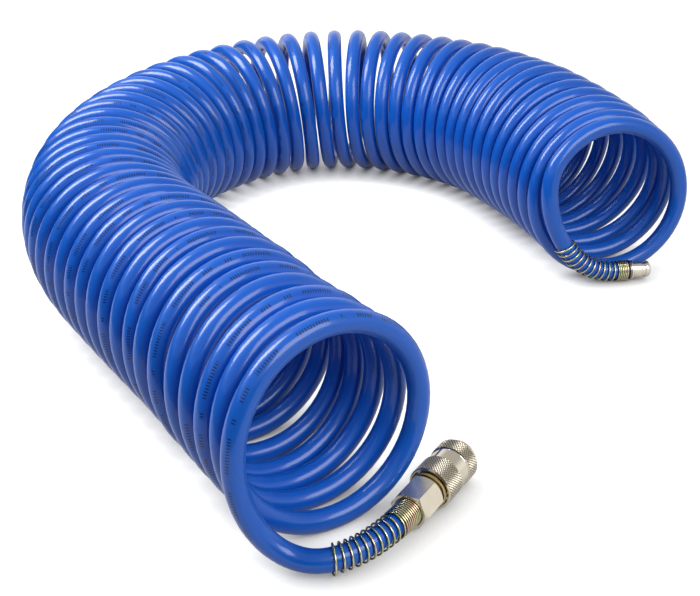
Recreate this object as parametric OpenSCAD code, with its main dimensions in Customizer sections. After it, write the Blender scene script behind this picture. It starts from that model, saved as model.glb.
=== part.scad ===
/* [Hose] */
// Outside diameter of the hose
hose_od = 12; // [11:0.5:12]
// Bore of the hose
hose_bore = 8; // [6:0.5:8.5]
// Outside diameter of the coil
coil_od = 120; // [116:1:124]

/* [Lie of the coil] */
// Turns in each stretch of the coil, from the near end to the far end
stretch_turns = [1, 1, 2, 1, 1, 1, 7, 6, 6, 6, 6, 8, 2, 4, 1, 1, 1, 1];
// Pitch of the turns in each stretch
stretch_pitch = [16.5, 17, 17, 18, 20, 15.5, 15.5, 16, 20, 20.5, 19, 18, 15.5, 16.5, 17.5, 16, 19, 16];
// Bend of each stretch in degrees, clockwise seen from above
stretch_bend = [-4, 1, 2, 2, -1, -3, 1, 25, 30, 32, 51, 47, 2, 9, 1, 2, 3, 0];
// Forward lean of the turns in degrees, at the start of each stretch and at the far end
turn_lean = [6, 11, 5, 12, 10, 6, 9, -1, -5, -8, -6, -2, -1, -2, 5, 0, -2, -11, -7];
// Swing of the turns in degrees, anticlockwise seen from above, at the same places
turn_swing = [-2, -2, 0, 4, 2, 1, 0, -7, -1, -1, -13, 0, 4, 2, -2, -3, -1, 1, 2];
// Growth of the coil's radius as it springs back, at the same places
turn_growth = [0.5, -0.5, -0.5, -1, -1, -1, -1, -0.5, -0.5, 0, 0.5, 1.5, 2.5, 3, 1.5, 1, 0, 0, 0.5];
// Direction of the coil's axis at its near end, in degrees from +X
coil_heading = 122; // [112:1:132]
// Distance of the coil's near end to the left of the origin
near_end_left = 14.5; // [0:0.5:40]
// Distance of the coil's near end in front of the origin
near_end_front = 269.3; // [240:0.1:300]

/* [Tails of the hose] */
// Turn at which the near tail leaves the coil
near_tail_turn = 0.1; // [0.05:0.05:0.2]
// Turn at which the far tail leaves the coil
far_tail_turn = 55.4; // [55.3:0.05:55.5]
// Height of the near tail where it runs over the surface
near_tail_height = 8.4; // [8.2:0.1:9]
// Distance of the socket's nut in front of the coil's first turn
socket_ahead = 21.4; // [20:0.2:26]
// Distance of the socket's nut from the coil's axis, towards its inner side
socket_inward = 28; // [26:0.5:30]
// Turn of the socket away from the line square to the coil's axis, in degrees
socket_turn = 25; // [22:1:28]
// Distance of the plug's guard in front of the coil's last turn, where that lies on the surface
plug_ahead = 14.4; // [14.2:0.2:18]

/* [Spring guards] */
// Wire diameter of both guards
guard_wire = 1.2; // [1:0.1:1.3]
// Play between a guard's wire and the hose, at the turns' middles
guard_play = 0.33; // [0.3:0.05:0.5]
// Pitch of the close-wound turns
guard_close_pitch = 1.8; // [1.75:0.05:1.9]
// Close-wound turns of the socket's guard
socket_close_turns = 8; // [6:1:9]
// Open turns of the socket's guard
socket_open_turns = 10.5; // [9:0.5:11]
// Pitch of the socket guard's open turns
socket_open_pitch = 3.7; // [3.4:0.1:3.8]
// Close-wound turns of the plug's guard
plug_close_turns = 4.5; // [4:0.5:6]
// Open turns of the plug's guard
plug_open_turns = 11; // [9:0.5:11]
// Pitch of the plug guard's open turns
plug_open_pitch = 4.4; // [4:0.1:4.6]

/* [Hose nut] */
// Width across the nut's flats
nut_flats = 19; // [19:0.5:20]
// Length of the nut
nut_length = 18.2; // [17:0.2:20]
// Depth to which the guard goes into the nut
guard_seat = 3.2; // [2.5:0.1:4]
// Length of hose inside the nut
hose_in_nut = 12.2; // [12:0.2:13]
// Diameter of the thread between the nut and the adapter
nut_thread = 16; // [15.5:0.1:16.4]

/* [Socket] */
// Outside diameter of the knurled sleeve
sleeve_od = 24.5; // [24:0.1:25.5]
// Length of the sleeve
sleeve_length = 31; // [30:0.2:33]
// Length of the sleeve's rear knurled band
rear_band = 13; // [11:0.5:14]
// Length of the polished waist between the sleeve's bands
sleeve_waist = 9.5; // [8:0.5:11]
// Depth of the polished waist
waist_depth = 0.9; // [0.5:0.1:1.2]
// Travel of the sleeve, back towards the nut
sleeve_travel = 2.6; // [2:0.1:2.8]
// Space between the nut and the sleeve
sleeve_space = 3.6; // [3.4:0.1:4]
// Bore that takes the plug
socket_bore = 12.1; // [12.06:0.02:12.2]
// Length of the socket body in front of the sleeve
mouth_length = 4.2; // [3.6:0.2:5]
// Width of the stop ring in front of the sleeve
stop_ring_width = 3; // [2:0.2:3.2]
// Outside diameter of the stop ring
stop_ring_od = 19.8; // [19.4:0.1:20.4]
// Diameter of the locking balls
ball_d = 3.2; // [3:0.1:3.4]
// Distance that a ball stands out into the bore
ball_bite = 0.65; // [0.5:0.05:0.7]
// Distance from the plug's flange to its locking groove
groove_place = 7.6; // [7.2:0.1:8.4]
// Travel of the valve
valve_travel = 2.8; // [2:0.1:3]
// Wire diameter of the sleeve's spring
sleeve_wire = 0.9; // [0.8:0.05:1]
// Wire diameter of the valve's spring
valve_wire = 0.8; // [0.7:0.05:0.9]
// Air passage through the fittings
passage_d = 5.6; // [5:0.1:5.8]

/* [Plug] */
// Diameter of the plug's nose
plug_d = 12; // [11.96:0.01:12]
// Length of the nose in front of the flange
nose_length = 13; // [12.6:0.1:13.6]
// Diameter of the plug's flange
flange_d = 13.8; // [13.2:0.1:14.4]
// Thickness of the plug's flange
flange_width = 2.3; // [2:0.1:3]
// Length of hose past the end of its curve, up to the plug's flange
hose_to_flange = 13.2; // [12.6:0.1:13.4]
// Thickness of the washer between the guard and the flange
washer_width = 0.9; // [0.6:0.1:1]

/* [Fits] */
// Radial clearance of a running fit
running_fit = 0.06; // [0.03:0.01:0.09]
// Clearance between pieces that are assembled but don't slide
assembly_gap = 0.1; // [0.05:0.01:0.15]
// Clearance round soft and wound pieces
soft_gap = 0.3; // [0.2:0.05:0.4]

/* [Hidden] */
$fn = 48;

// Hose and coil
hose_r = hose_od / 2;
coil_r = (coil_od - hose_od) / 2;
// The faceted hose is cut flat where it lies, a tenth of its diameter deep
flat_depth = hose_od / 10;
lying_height = hose_r - flat_depth;
hose_sides = 6;
bore_r = hose_bore / 2 / cos(180 / hose_sides);
barb_depth = 14;
barb_gap = 0.1;
up = [0, 0, 1];
// Ring places round a turn, in degrees from its lowest point, with the flat between the middle two
flat_half = 4;
ring_step = (180 - flat_half) / 4;
turn_rings = [for (i = [-4:4]) if (i != 0) sign(i) * (flat_half + (abs(i) - 1) * ring_step), 180];

function unit(v) = v / norm(v);
function level(heading) = [cos(heading), sin(heading), 0];
function total(v, n) = n <= 0 ? 0 : v[n - 1] + total(v, n - 1);

// The coil's axis is a chain of arcs, one to a stretch: [x, y, heading]
stretches = len(stretch_turns);
function stretch_length(j) = stretch_turns[j] * stretch_pitch[j];
function along(start, j, s) =
    let (turned = -stretch_bend[j] * s / stretch_length(j))
    let (half = turned / 2)
    let (chord = abs(half) < 0.001 ? s : s * sin(half) / (half * PI / 180))
    [start.x + chord * cos(start[2] + half), start.y + chord * sin(start[2] + half), start[2] + turned];
function stretch_start(j) =
    j == 0 ? [-near_end_left, -near_end_front, coil_heading]
        : along(stretch_start(j - 1), j - 1, stretch_length(j - 1));
starts = [for (j = [0:stretches]) stretch_start(j)];
first_turns = [for (j = [0:stretches]) total(stretch_turns, j)];
function at_first_turns(values) = [for (j = [0:stretches]) [first_turns[j], values[j]]];
leans = at_first_turns(turn_lean);
swings = at_first_turns(turn_swing);
growths = at_first_turns(turn_growth);
function stretch_of(turn, j = 0) =
    j >= stretches - 1 || turn < first_turns[j + 1] ? j : stretch_of(turn, j + 1);
function axis_at(turn) =
    let (j = stretch_of(turn))
    along(starts[j], j, (turn - first_turns[j]) * stretch_pitch[j]);
function left_of(heading) = level(heading + 90);

// A point of the hose's centre line at a turn, and the way that leads out of the coil there
function facing_at(turn) = axis_at(turn)[2] + lookup(turn, swings);
function coil_point(turn) =
    let (a = axis_at(turn), facing = facing_at(turn), lean = lookup(turn, leans))
    let (r = coil_r + lookup(turn, growths), angle = 360 * turn)
    [a.x, a.y, lying_height + r * cos(lean)]
        + r * (cos(angle) * left_of(facing) + sin(angle) * (cos(lean) * up + sin(lean) * level(facing)));
function coil_out(turn) = cos(360 * turn) * left_of(facing_at(turn)) + sin(360 * turn) * up;
function coil_run(turn) = unit(coil_point(turn + 0.005) - coil_point(turn - 0.005));

// A leg is a Bezier curve with four control points
function leg_point(leg, t) =
    let (u = 1 - t)
    u * u * u * leg[0] + 3 * u * u * t * leg[1] + 3 * u * t * t * leg[2] + t * t * t * leg[3];
function leg_run(leg, t) =
    unit(pow(1 - t, 2) * (leg[1] - leg[0]) + 2 * (1 - t) * t * (leg[2] - leg[1]) + t * t * (leg[3] - leg[2]));
leg_steps = 24;
function leg_sum(leg, k) =
    k <= 0 ? 0
        : leg_sum(leg, k - 1) + norm(leg_point(leg, k / leg_steps) - leg_point(leg, (k - 1) / leg_steps));
function leg_table(leg) = [for (k = [0:leg_steps]) [leg_sum(leg, k), k / leg_steps]];

// Where the socket's nut begins, and the bend that the near tail makes before it
near_axis = axis_at(0);
socket_heading = near_axis[2] - 90 + socket_turn;
socket_dir = level(socket_heading);
socket_height = sleeve_od / 2 + 0.05;
nut_place = [near_axis.x, near_axis.y, socket_height]
    - socket_ahead * level(near_axis[2]) - socket_inward * left_of(near_axis[2]);
// Each reach is the distance from a leg's end to its control point
nut_reach = 25;
tail_front_reach = 17;
tail_back_reach = 27;
near_coil_reach = 41;
tail_ahead = 21;
tail_outward = 31;
tail_turn = -46;
tail_dir = level(near_axis[2] - 90 + tail_turn);
tail_place = [near_axis.x, near_axis.y, near_tail_height]
    - tail_ahead * level(near_axis[2]) + tail_outward * left_of(near_axis[2]);
near_start = coil_point(near_tail_turn);
socket_leg = [nut_place, nut_place - nut_reach * socket_dir,
    tail_place + tail_front_reach * tail_dir, tail_place];
near_leg = [tail_place, tail_place - tail_back_reach * tail_dir,
    near_start - near_coil_reach * coil_run(near_tail_turn), near_start];

// Where the far tail ends its curve, in line with the plug
far_axis = axis_at(first_turns[stretches]);
far_coil_reach = 30;
plug_reach = 38;
plug_outward = -1.6;
plug_turn = -4;
plug_heading = far_axis[2] + 90 + plug_turn;
plug_dir = level(plug_heading);

// A wound guard is an eight-sided helix, so its turns' middles come closest to the hose
guard_rings = 8;
guard_r = (hose_r + guard_play + guard_wire / 2) / cos(180 / guard_rings);
guard_od = 2 * guard_r + guard_wire;
plug_height = guard_od / 2 + 0.1;
far_low = coil_point(first_turns[stretches] - 1.25);
plug_place = [far_low.x, far_low.y, plug_height]
    + plug_ahead * level(far_axis[2]) + plug_outward * left_of(far_axis[2]);
far_start = coil_point(far_tail_turn);
plug_leg = [far_start, far_start + far_coil_reach * coil_run(far_tail_turn),
    plug_place - plug_reach * plug_dir, plug_place];

// The hose as a list of stations: [centre, run, way out, radius]
socket_end = nut_place + hose_in_nut * socket_dir;
plug_end = plug_place + hose_to_flange * plug_dir;
near_steps = 9;
socket_steps = 5;
far_steps = 12;
function tail_out(heading, angle) = cos(angle) * left_of(heading) + sin(angle) * up;
function in_coil(turn) = turn > near_tail_turn + 0.02 && turn < far_tail_turn - 0.02;
coil_turns = [for (k = [0:first_turns[stretches]], place = turn_rings)
    let (turn = k - 0.25 + place / 360) if (in_coil(turn)) turn];
far_angle = 360 * (far_tail_turn - floor(far_tail_turn));
stations = concat(
    [[socket_end - barb_depth * socket_dir, -socket_dir, -up, bore_r],
        [socket_end, -socket_dir, -up, bore_r],
        [socket_end, -socket_dir, -up, hose_r]],
    [for (i = [0:socket_steps]) [leg_point(socket_leg, i / socket_steps),
        leg_run(socket_leg, i / socket_steps), -up, hose_r]],
    [for (i = [1:near_steps]) let (t = i / near_steps) [leg_point(near_leg, t), leg_run(near_leg, t),
        tail_out(near_axis[2], -90 + t * (90 + 360 * near_tail_turn)), hose_r]],
    [for (turn = coil_turns) [coil_point(turn), coil_run(turn), coil_out(turn), hose_r]],
    [for (i = [0:far_steps]) let (t = i / far_steps) [leg_point(plug_leg, t), leg_run(plug_leg, t),
        tail_out(far_axis[2], far_angle + t * (270 - far_angle)), hose_r]],
    [[plug_end, plug_dir, -up, hose_r],
        [plug_end, plug_dir, -up, bore_r],
        [plug_end - barb_depth * plug_dir, plug_dir, -up, bore_r]]);

// A swept tube's points and faces, one ring to a station
function ring(station, sides) =
    let (run = station[1])
    let (out = unit(station[2] - (station[2] * run) * run))
    let (side = cross(run, out))
    [for (k = [0:sides - 1]) let (angle = 360 * (k + 0.5) / sides)
        station[0] + station[3] * (cos(angle) * out + sin(angle) * side)];
function on_surface(p) = [p.x, p.y, max(p.z, 0)];
function tube_faces(rings, sides) = concat(
    [for (i = [1:sides - 2]) [0, i, i + 1]],
    [for (i = [0:rings - 2], k = [0:sides - 1], half = [0, 1])
        let (a = i * sides + k, b = i * sides + (k + 1) % sides)
        half == 0 ? [a, a + sides, b] : [b, a + sides, b + sides]],
    [for (i = [1:sides - 2]) let (last = (rings - 1) * sides) [last, last + i + 1, last + i]]);
module tube(list, sides) {
    points = [for (station = list, p = ring(station, sides)) on_surface(p)];
    polyhedron(points, tube_faces(len(list), sides));
}

// Least distance from a coil station to the centre line one turn further on
coil_rings = len(turn_rings);
function to_line(p, a, b) =
    let (t = max(0, min(1, (p - a) * (b - a) / ((b - a) * (b - a)))))
    norm(p - a - t * (b - a));
first_coil = 3 + socket_steps + near_steps + 1;
last_coil = first_coil + len(coil_turns) - 1;
coil_gap = min([for (i = [first_coil:last_coil - coil_rings - 3], j = [coil_rings - 3:coil_rings + 2])
    to_line(stations[i][0], stations[i + j][0], stations[i + j + 1][0])]) - hose_od;
near_gap = min([for (i = [3:first_coil - 1], j = [first_coil + 3:first_coil + 2 * coil_rings])
    to_line(stations[i][0], stations[j][0], stations[j + 1][0])]) - hose_od;
far_gap = min([for (i = [last_coil:len(stations) - 3], j = [last_coil - 2 * coil_rings:last_coil - 4])
    to_line(stations[i][0], stations[j][0], stations[j + 1][0])]) - hose_od;
echo(hose_least_gap_to_itself = min(coil_gap, near_gap, far_gap), coil_gap, near_gap, far_gap);
hose_length = total([for (i = [3:len(stations) - 3]) norm(stations[i][0] - stations[i - 1][0])],
    len(stations) - 5);
echo(faceted_hose_length = hose_length, hose_rings = len(stations));

// Guard centre lines, measured from the guard's inner end back along the hose
socket_table = leg_table(socket_leg);
near_table = leg_table(near_leg);
socket_leg_length = socket_table[leg_steps][0];
guard_in_nut = guard_seat - guard_wire / 2;
function near_line(s) =
    s < guard_in_nut ? [nut_place + (guard_in_nut - s) * socket_dir, -socket_dir]
        : s < guard_in_nut + socket_leg_length
            ? let (t = lookup(s - guard_in_nut, socket_table))
                [leg_point(socket_leg, t), leg_run(socket_leg, t)]
            : let (t = lookup(s - guard_in_nut - socket_leg_length, near_table))
                [leg_point(near_leg, t), leg_run(near_leg, t)];
guard_to_washer = hose_to_flange - washer_width - 2 * assembly_gap - guard_wire / 2;
back_leg = [for (i = [3:-1:0]) plug_leg[i]];
back_table = leg_table(back_leg);
function far_line(s) =
    s < guard_to_washer ? [plug_place + (guard_to_washer - s) * plug_dir, -plug_dir]
        : let (t = lookup(s - guard_to_washer, back_table)) [leg_point(back_leg, t), leg_run(back_leg, t)];
function guard_s(turn, close_turns, open_pitch) =
    min(turn, close_turns) * guard_close_pitch + max(turn - close_turns, 0) * open_pitch;
function coil_round(line, r, angle) =
    let (low = unit(-up + (up * line[1]) * line[1]))
    line[0] + r * (cos(angle) * low + sin(angle) * cross(line[1], low));
module wire(points, centres, r, sides) {
    last = len(points) - 1;
    tube([for (i = [0:last]) let (run = unit(points[min(i + 1, last)] - points[max(i - 1, 0)]))
        [points[i], run, points[i] - centres[i], r]], sides);
}
function least_wire_gap(points, rings, d) =
    min([for (i = [0:len(points) - rings - 2], j = [rings - 2:rings])
        to_line(points[i], points[i + j], points[i + j + 1])]) - d;
wire_sides = 4;
socket_guard_turns = [for (i = [0:(socket_close_turns + socket_open_turns) * guard_rings]) i / guard_rings];
socket_guard_lines = [for (n = socket_guard_turns)
    near_line(guard_s(n, socket_close_turns, socket_open_pitch))];
socket_guard_points = [for (i = [0:len(socket_guard_turns) - 1])
    coil_round(socket_guard_lines[i], guard_r, -360 * socket_guard_turns[i])];
plug_guard_turns = [for (i = [0:(plug_close_turns + plug_open_turns) * guard_rings]) i / guard_rings];
plug_guard_lines = [for (n = plug_guard_turns)
    far_line(guard_s(n, plug_close_turns, plug_open_pitch))];
plug_guard_points = [for (i = [0:len(plug_guard_turns) - 1])
    coil_round(plug_guard_lines[i], guard_r, -360 * plug_guard_turns[i])];
echo(guard_least_gaps = [least_wire_gap(socket_guard_points, guard_rings, guard_wire),
    least_wire_gap(plug_guard_points, guard_rings, guard_wire)], guard_od = guard_od);

// Socket, measured along its axis from the nut's rear face
neck_width = 1;
neck_step = 0.6;
collar_start = nut_length + neck_width;
collar_width = 1.8;
collar_bevel = 0.3;
collar_end = collar_start + collar_width;
gasket_width = 1;
body_start = collar_end + gasket_width;
body_bevel = 0.5;
sleeve_start = nut_length + sleeve_space;
sleeve_end = sleeve_start + sleeve_length;
mouth = sleeve_end + mouth_length;
mouth_r = socket_bore / 2;
body_r = mouth_r + ball_d - ball_bite;
ball_plane = mouth - groove_place;
ball_count = 4;
// In front of the balls the bore is a little wider, and its edge is bevelled
entry_step = 0.2;
entry_r = mouth_r + entry_step;
ball_to_entry = 0.4;
entry_start = ball_plane + ball_d / 2 + ball_to_entry;
entry_bevel = 0.5;
ball_rest = body_r - ball_d / 2;
sleeve_wall = 1.5;
spring_chamber_r = sleeve_od / 2 - sleeve_wall;
collar_play = 0.4;
collar_r = spring_chamber_r - collar_play;
body_to_spring = 3.4;
spring_seat = body_start + body_to_spring;
spring_seat_width = 1.6;
land_to_balls = 8.6;
sleeve_land = ball_plane - land_to_balls;
stop_start = sleeve_end + running_fit;
stop_groove_depth = 0.9;
stop_groove_r = body_r - stop_groove_depth;
seat_to_balls = 6.2;
seat_face = ball_plane - seat_to_balls;
seat_width = 1.4;
seat_step = 1.6;
seat_hole_r = mouth_r - seat_step;
chamber_step = 0.9;
chamber_r = mouth_r + chamber_step;
spigot_length = 8.4;
chamber_start = body_start + spigot_length;
seat_to_packing = 1.4;
packing_start = seat_face + seat_to_packing;
// Where the plug's tip comes to rest, and the part of the valve's travel that it leaves
plug_tip = mouth - nose_length;
valve_spare = 0.2;
packing_width = 1.9;
packing_depth = 1.2;
spigot_wall = 0.3;
spigot_r = chamber_r + spigot_wall;
disc_play = 0.5;
disc_r = chamber_r - disc_play;
disc_width = 2.6;
disc_gap = 0.3;
disc_front = seat_face - seat_width - disc_gap;
disc_rear = disc_front - disc_width;
seal_depth = 0.8;
seal_floor = disc_front - seal_depth;
seal_rim = 0.6;
seal_play = 0.05;
nose_play = 0.2;
seal_bore_r = seat_hole_r - nose_play;
thread_start = hose_in_nut + assembly_gap;
// The cone lets the balls out as the sleeve goes back
ball_ramp = ball_bite / sleeve_travel;
ramp_start_r = body_r + running_fit;
ramp_over = 0.6;
ramp_end_r = ramp_start_r + ball_ramp * (sleeve_travel + ramp_over);
ramp_start = ball_plane - 0.2;
ramp_end = ramp_start + sleeve_travel + ramp_over;

module at_socket() {
    translate(nut_place)
        rotate([0, 90, socket_heading])
            children();
}

module at_plug() {
    translate(plug_place)
        rotate([0, 90, plug_heading])
            children();
}

// A ring with square edges between two radii
module washer(inner_r, outer_r, start, width) {
    translate([0, 0, start])
        difference() {
            cylinder(r = outer_r, h = width);
            translate([0, 0, -1])
                cylinder(r = inner_r, h = width + 2);
        }
}

// A hose barb that begins at the given place and points back into the hose
module barb(shoulder, depth) {
    ridges = 3;
    ridge_length = (depth - 2) / ridges;
    barb_r = hose_bore / 2 - barb_gap;
    root_r = barb_r - 0.5;
    rotate_extrude()
        polygon(concat(
            [[passage_d / 2, shoulder], [passage_d / 2, shoulder - depth], [root_r, shoulder - depth]],
            [for (i = [0:ridges - 1], step = [0, 1])
                let (z = shoulder - depth + (i + 1) * ridge_length) step == 0 ? [barb_r, z] : [root_r, z]],
            [[root_r, shoulder]]));
}

module air_hose() {
    color("royalblue")
        tube(stations, hose_sides);
}

module socket_spring_guard() {
    color("darkkhaki")
        wire(socket_guard_points, [for (line = socket_guard_lines) line[0]], guard_wire / 2, wire_sides);
}

module plug_spring_guard() {
    color("darkkhaki")
        wire(plug_guard_points, [for (line = plug_guard_lines) line[0]], guard_wire / 2, wire_sides);
}

// Hexagonal nut with a mouth for the guard, a waist for the hose and a threaded front
module socket_hose_nut() {
    mouth_bore_r = guard_od / 2 + soft_gap / 2;
    corner_r = nut_flats / 2 / cos(30);
    bevel = corner_r - nut_flats / 2;
    waist_r = hose_r + soft_gap;
    waist_end = guard_seat + soft_gap + 3;
    color("lightgray")
        at_socket()
            difference() {
                intersection() {
                    rotate([0, 0, 30])
                        cylinder(r = corner_r, h = nut_length, $fn = 6);
                    rotate_extrude()
                        polygon([[0, 0], [nut_flats / 2, 0], [corner_r, bevel],
                            [corner_r, nut_length - bevel], [nut_flats / 2, nut_length], [0, nut_length]]);
                }
                translate([0, 0, -1])
                    cylinder(r = mouth_bore_r, h = guard_seat + soft_gap + 1);
                cylinder(r = waist_r, h = nut_length);
                translate([0, 0, waist_end])
                    cylinder(r = nut_thread / 2 + assembly_gap, h = nut_length);
            }
}

// Barb, threaded shoulder, collar and spigot turned in one piece
module socket_adapter() {
    neck_r = nut_thread / 2 + neck_step;
    spigot_end = chamber_start - 2 * assembly_gap;
    spigot_cone = 1.2;
    color("silver")
        at_socket()
            union() {
                barb(thread_start, barb_depth - 1);
                rotate_extrude()
                    polygon([[passage_d / 2, thread_start], [nut_thread / 2, thread_start],
                        [nut_thread / 2, nut_length], [neck_r, nut_length + 2 * assembly_gap],
                        [neck_r, collar_start], [collar_r - collar_bevel, collar_start],
                        [collar_r, collar_start + collar_bevel], [collar_r, collar_end - collar_bevel],
                        [collar_r - collar_bevel, collar_end], [spigot_r - assembly_gap, collar_end],
                        [spigot_r - assembly_gap, spigot_end], [passage_d / 2 + spigot_cone, spigot_end],
                        [passage_d / 2, spigot_end - spigot_cone]]);
            }
}

module adapter_gasket() {
    color("dimgray")
        at_socket()
            washer(spigot_r, body_r, collar_end, gasket_width);
}

// Body with the plug's bore, the valve chamber, the ball holes and the stop ring's groove
module socket_body() {
    color("gainsboro")
        at_socket()
            difference() {
                rotate_extrude()
                    polygon([[0, body_start], [body_r, body_start], [body_r, spring_seat],
                        [collar_r, spring_seat], [collar_r, spring_seat + spring_seat_width],
                        [body_r, spring_seat + spring_seat_width], [body_r, stop_start],
                        [stop_groove_r, stop_start], [stop_groove_r, stop_start + stop_ring_width],
                        [body_r, stop_start + stop_ring_width], [body_r, mouth - body_bevel],
                        [body_r - body_bevel, mouth], [0, mouth]]);
                translate([0, 0, body_start - 1])
                    cylinder(r = spigot_r, h = chamber_start - body_start + 1);
                translate([0, 0, body_start])
                    cylinder(r = chamber_r, h = seat_face - seat_width - body_start);
                cylinder(r = seat_hole_r, h = seat_face + 1);
                rotate_extrude()
                    polygon([[0, seat_face], [mouth_r, seat_face], [mouth_r, entry_start],
                        [entry_r, entry_start], [entry_r, mouth - entry_bevel],
                        [entry_r + entry_bevel, mouth], [entry_r + entry_bevel, mouth + 1], [0, mouth + 1]]);
                translate([0, 0, packing_start])
                    cylinder(r = mouth_r + packing_depth, h = packing_width);
                for (i = [1:ball_count])
                    ball_hole(i);
            }
}

module ball_hole(i) {
    lip_r = mouth_r + 0.3;
    rotate([0, 0, ball_angle(i)])
        translate([0, 0, ball_plane])
            rotate([0, 90, 0]) {
                cylinder(r = ball_d / 2 - 0.1, h = body_r + 1);
                translate([0, 0, lip_r])
                    cylinder(r = ball_d / 2 + running_fit, h = body_r);
            }
}

function ball_angle(i) = 360 * (i - 0.5) / ball_count;

module locking_ball(i) {
    color("slategray")
        at_socket()
            rotate([0, 0, ball_angle(i)])
                translate([ball_rest, 0, ball_plane])
                    sphere(d = ball_d);
}

// Sleeve with two raised bands, a polished waist, the spring's chamber and the balls' cone
module knurled_sleeve() {
    band_r = sleeve_od / 2;
    waist_r = band_r - waist_depth;
    waist_start = sleeve_start + rear_band;
    waist_end = waist_start + sleeve_waist;
    bevel = 0.8;
    waist_slope = 0.5;
    color("whitesmoke")
        at_socket()
            rotate_extrude()
                polygon([[spring_chamber_r, sleeve_start], [band_r - bevel, sleeve_start],
                    [band_r, sleeve_start + bevel], [band_r, waist_start],
                    [waist_r, waist_start + waist_slope], [waist_r, waist_end - waist_slope],
                    [band_r, waist_end], [band_r, sleeve_end - bevel],
                    [band_r - bevel, sleeve_end], [ramp_end_r, sleeve_end],
                    [ramp_end_r, ramp_end], [ramp_start_r, ramp_start],
                    [ramp_start_r, sleeve_land], [spring_chamber_r, sleeve_land]]);
}

// A round compression spring between two places, with the counts that its size needs
module compression_spring(start, end, r, wire_d, turns, rings, sides) {
    count = turns * rings;
    rise = (end - start - wire_d) / count;
    points = [for (i = [0:count])
        [r * cos(360 * i / rings), r * sin(360 * i / rings), start + wire_d / 2 + i * rise]];
    last = len(points) - 1;
    list = [for (i = [0:last]) [points[i], unit(points[min(i + 1, last)] - points[max(i - 1, 0)]),
        [points[i].x, points[i].y, 0], wire_d / 2]];
    polyhedron([for (station = list, p = ring(station, sides)) p], tube_faces(len(list), sides));
}

module sleeve_spring() {
    color("gray")
        at_socket()
            compression_spring(spring_seat + spring_seat_width, sleeve_land,
                (body_r + spring_chamber_r) / 2 + 0.1, sleeve_wire, 4, 12, 3);
}

module valve_spring() {
    color("gray")
        at_socket()
            compression_spring(chamber_start, disc_rear, disc_r - 1.6, valve_wire, 3, 8, 3);
}

// Split ring that the sleeve rests against
module sleeve_stop_ring() {
    notch = 2.4;
    notch_angle = 125;
    color("darkgray")
        at_socket()
            difference() {
                washer(stop_groove_r + running_fit, stop_ring_od / 2, stop_start + running_fit / 2,
                    stop_ring_width - running_fit);
                rotate([0, 0, notch_angle])
                    translate([0, -notch / 2, stop_start - 1])
                        cube([stop_ring_od, notch, stop_ring_width + 2]);
            }
}

// Disc with a nose that the plug pushes and a stem that the spring goes round
module valve_poppet() {
    nose_r = seat_hole_r - 1;
    nose_end = plug_tip + valve_travel - valve_spare;
    nose_bevel = 0.5;
    slot_width = 1.6;
    slot_depth = 2;
    stem_r = disc_r - 3.4;
    stem_end = disc_rear - 2;
    color("goldenrod")
        at_socket()
            difference() {
                rotate_extrude()
                    polygon([[0, stem_end], [stem_r, stem_end], [stem_r, disc_rear],
                        [disc_r, disc_rear], [disc_r, disc_front], [disc_r - seal_rim, disc_front],
                        [disc_r - seal_rim, seal_floor], [seal_bore_r, seal_floor],
                        [seal_bore_r, disc_front], [nose_r, disc_front], [nose_r, nose_end - nose_bevel],
                        [nose_r - nose_bevel, nose_end], [0, nose_end]]);
                for (angle = [0, 90])
                    rotate([0, 0, angle])
                        translate([-nose_r - 1, -slot_width / 2, nose_end - slot_depth])
                            cube([2 * nose_r + 2, slot_width, slot_depth + 1]);
            }
}

// Rubber ring in the poppet's face, pressed on the valve seat
module valve_seal() {
    inner = seal_bore_r + assembly_gap;
    outer = disc_r - seal_rim - assembly_gap;
    color("black")
        at_socket()
            washer(inner, outer, seal_floor, seal_depth + disc_gap - seal_play);
}

// Lip packing that seals on the plug's nose
module plug_packing() {
    play = 0.05;
    lip_height = 0.2;
    lip_r = mouth_r - lip_height / 2;
    outer_r = mouth_r + packing_depth - play;
    rear = packing_start + play;
    front = packing_start + packing_width - play;
    color("black")
        at_socket()
            rotate_extrude()
                polygon([[outer_r, rear], [outer_r, front], [lip_r + lip_height, front],
                    [lip_r, (rear + front) / 2], [lip_r + lip_height, rear]]);
}

// Dark washer that the guard stops against
module guard_washer() {
    color("dimgray")
        at_plug()
            washer(hose_r + assembly_gap, flange_d / 2 + 0.4, hose_to_flange - washer_width, washer_width);
}

// Plug with its barb, flange, locking groove and round nose turned in one piece
module hose_plug() {
    flange_start = hose_to_flange + assembly_gap;
    flange_end = flange_start + flange_width;
    nose_r = plug_d / 2;
    groove = flange_end + groove_place;
    groove_r = nose_r - ball_bite - 0.1;
    groove_half = ball_d / 2;
    tip = flange_end + nose_length;
    tip_round = 2.4;
    color("lightgray")
        at_plug()
            union() {
                barb(flange_start, barb_depth - 1);
                rotate_extrude()
                    polygon(concat(
                        [[passage_d / 2, flange_start], [flange_d / 2 - 0.6, flange_start],
                            [flange_d / 2, flange_start + 0.6], [flange_d / 2, flange_end - 0.6],
                            [flange_d / 2 - 0.6, flange_end], [nose_r, flange_end],
                            [nose_r, groove - groove_half], [groove_r, groove - groove_half + 0.6],
                            [groove_r, groove + groove_half - 0.6], [nose_r, groove + groove_half]],
                        [for (angle = [0:15:90]) [nose_r - tip_round + tip_round * cos(angle),
                            tip - tip_round + tip_round * sin(angle)]],
                        [[passage_d / 2, tip]]));
            }
}

air_hose();
socket_spring_guard();
socket_hose_nut();
socket_adapter();
adapter_gasket();
socket_body();
knurled_sleeve();
sleeve_spring();
sleeve_stop_ring();
locking_ball(1);  // locking_ball_1
locking_ball(2);  // locking_ball_2
locking_ball(3);  // locking_ball_3
locking_ball(4);  // locking_ball_4
valve_poppet();
valve_seal();
valve_spring();
plug_packing();
plug_spring_guard();
guard_washer();
hose_plug();
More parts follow.
